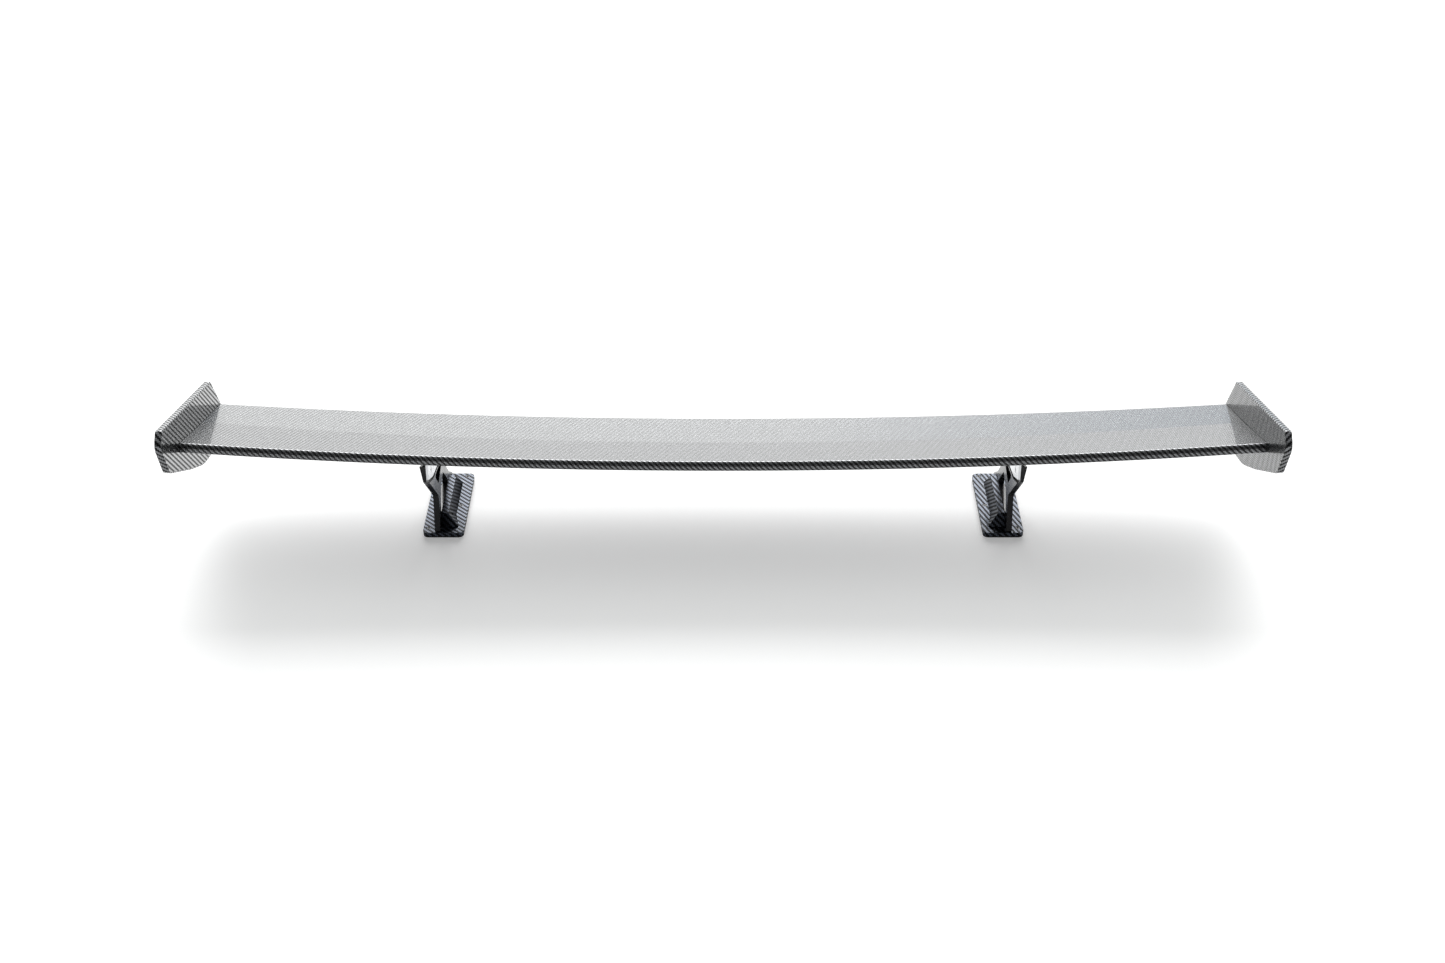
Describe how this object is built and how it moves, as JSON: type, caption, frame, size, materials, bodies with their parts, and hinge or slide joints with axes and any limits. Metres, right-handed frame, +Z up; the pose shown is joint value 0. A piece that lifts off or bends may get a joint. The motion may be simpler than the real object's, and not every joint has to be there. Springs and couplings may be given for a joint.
{
  "type": "racing rear wing",
  "caption": "Bowed carbon-fibre rear wing element with swept endplates, held by brackets on two forked metal uprights with ridged feet for a boot lid.",
  "frame": {"origin": "centre of the overall box in plan, on the plane under the two feet", "axes": "+X across the car to its right, +Y forward, +Z up"},
  "size_m": [1.3, 0.2911, 0.233],
  "materials": {
    "carbon": "clear-coated two-by-two twill carbon fibre",
    "core": "machined tooling-board rib",
    "black_alloy": "satin black anodised aluminium plate",
    "silver_alloy": "brushed aluminium and zinc-plated hardware",
    "black_steel": "black oxide steel",
    "rubber": "matt EPDM sheet"
  },
  "bodies": {
    "stand": {"foot_gasket_left": "rubber", "foot_base_left": "black_alloy", "foot_cover_left": "carbon", "upright_left": "black_alloy", "pivot_bolt_left": "black_steel", "pivot_nut_left": "silver_alloy", "foot_screw_left_1": "black_steel", "foot_screw_left_2": "black_steel", "foot_screw_left_3": "black_steel", "foot_screw_left_4": "black_steel", "upright_bolt_left_1": "black_steel", "upright_bolt_left_2": "black_steel", "foot_gasket_right": "rubber", "foot_base_right": "black_alloy", "foot_cover_right": "carbon", "upright_right": "black_alloy", "pivot_bolt_right": "black_steel", "pivot_nut_right": "silver_alloy", "foot_screw_right_1": "black_steel", "foot_screw_right_2": "black_steel", "foot_screw_right_3": "black_steel", "foot_screw_right_4": "black_steel", "upright_bolt_right_1": "black_steel", "upright_bolt_right_2": "black_steel"},
    "wing": {"wing_upper_skin": "carbon", "wing_lower_skin": "carbon", "wing_spar_front": "carbon", "wing_spar_rear": "carbon", "end_rib_left": "core", "mount_block_left": "silver_alloy", "endplate_left": "carbon", "wing_bracket_left": "silver_alloy", "clamp_bolt_left": "silver_alloy", "clamp_nut_left": "silver_alloy", "endplate_screw_left_1": "black_steel", "endplate_screw_left_2": "black_steel", "endplate_screw_left_3": "black_steel", "bracket_screw_left_1": "black_steel", "bracket_screw_left_2": "black_steel", "end_rib_right": "core", "mount_block_right": "silver_alloy", "endplate_right": "carbon", "wing_bracket_right": "silver_alloy", "clamp_bolt_right": "silver_alloy", "clamp_nut_right": "silver_alloy", "endplate_screw_right_1": "black_steel", "endplate_screw_right_2": "black_steel", "endplate_screw_right_3": "black_steel", "bracket_screw_right_1": "black_steel", "bracket_screw_right_2": "black_steel"}
  },
  "joints": [
    {"name": "incidence", "type": "hinge", "parent": "stand", "child": "wing", "pos_m": [0, 0.088, 0.077], "axis": [-1, 0, 0], "range_deg": [-1.5, 2.5]}
  ]
}
